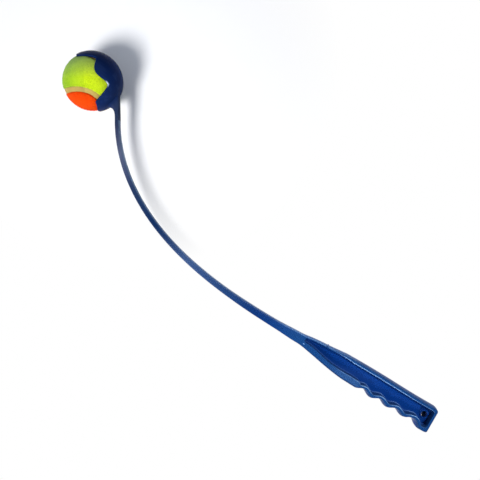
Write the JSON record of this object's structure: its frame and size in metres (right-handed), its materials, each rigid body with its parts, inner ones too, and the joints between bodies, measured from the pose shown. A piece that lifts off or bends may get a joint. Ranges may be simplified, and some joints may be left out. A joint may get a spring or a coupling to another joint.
{
  "type": "ball launcher",
  "caption": "Curved moulded thrower with a finger-grooved I-section grip, a lobed cup and a two-panel felt ball that slides out of the cup.",
  "frame": {"origin": "centre of the grip's flat butt face", "axes": "+X along the grip towards the arm, +Y towards the throwing side with the finger grooves and the cup's mouth, +Z square to the plane of the arm"},
  "size_m": [0.5693, 0.1931, 0.064],
  "materials": {
    "grip_plastic": "gloss",
    "arm_plastic": "gloss",
    "cup_plastic": "gloss",
    "core_rubber": "matte",
    "green_felt": "matte",
    "orange_felt": "matte",
    "seam_rubber": "matte"
  },
  "bodies": {
    "launcher": {"handle": "grip_plastic", "arm": "arm_plastic", "cup": "cup_plastic"},
    "ball": {"core_half_upper": "core_rubber", "core_half_lower": "core_rubber", "felt_panel_green": "green_felt", "felt_panel_orange": "orange_felt", "ball_seam": "seam_rubber"}
  },
  "joints": [
    {"name": "ball_release", "type": "slide", "parent": "launcher", "child": "ball", "axis": [0.6428, 0.766, 0], "range_m": [0, 0.12]}
  ]
}
